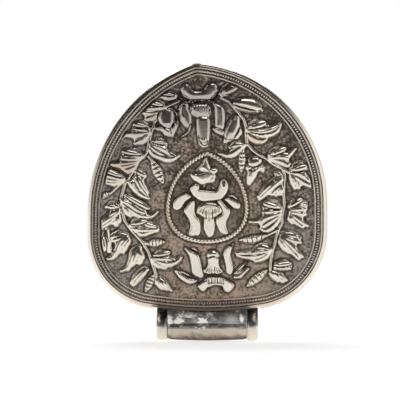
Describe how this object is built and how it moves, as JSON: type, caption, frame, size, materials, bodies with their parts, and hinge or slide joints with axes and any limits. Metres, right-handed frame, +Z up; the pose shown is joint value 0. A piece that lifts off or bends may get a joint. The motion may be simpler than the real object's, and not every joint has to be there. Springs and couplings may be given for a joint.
{
  "type": "amulet box",
  "caption": "Leaf-shaped silver amulet box with a chased flower front, a cover that pulls off its tray, a cord tube along the bottom and a rolled paper inside.",
  "frame": {"origin": "middle of the cord tube's bore, under the box", "axes": "+X along the cord tube, to the right seen from the front; -Y out of the decorated front; +Z up to the point"},
  "size_m": [0.0646, 0.0164, 0.075],
  "materials": {
    "chased_silver": "polished relief over a dark ground",
    "plain_silver": "worn satin",
    "wire_silver": "worn satin",
    "tube_silver": "hammered",
    "back_silver": "worn satin",
    "inner_silver": "tarnished",
    "scroll_paper": "matte",
    "band_paper": "matte"
  },
  "bodies": {
    "back_tray": {"back_wall": "plain_silver", "back_plate": "back_silver", "inner_sleeve": "inner_silver", "left_knuckle": "tube_silver", "right_knuckle": "tube_silver", "left_rim_strip": "plain_silver", "right_rim_strip": "plain_silver", "prayer_scroll": "scroll_paper", "scroll_band": "band_paper"},
    "front_cover": {"front_plate": "chased_silver", "front_wall": "plain_silver", "border_outer_wire": "wire_silver", "border_beaded_wire": "wire_silver", "border_inner_wire": "wire_silver", "medallion_rope": "wire_silver", "barrel_knuckle": "tube_silver"}
  },
  "joints": [
    {"name": "cover_pull", "type": "slide", "parent": "back_tray", "child": "front_cover", "axis": [0, -1, 0], "range_m": [0, 0.03]}
  ]
}
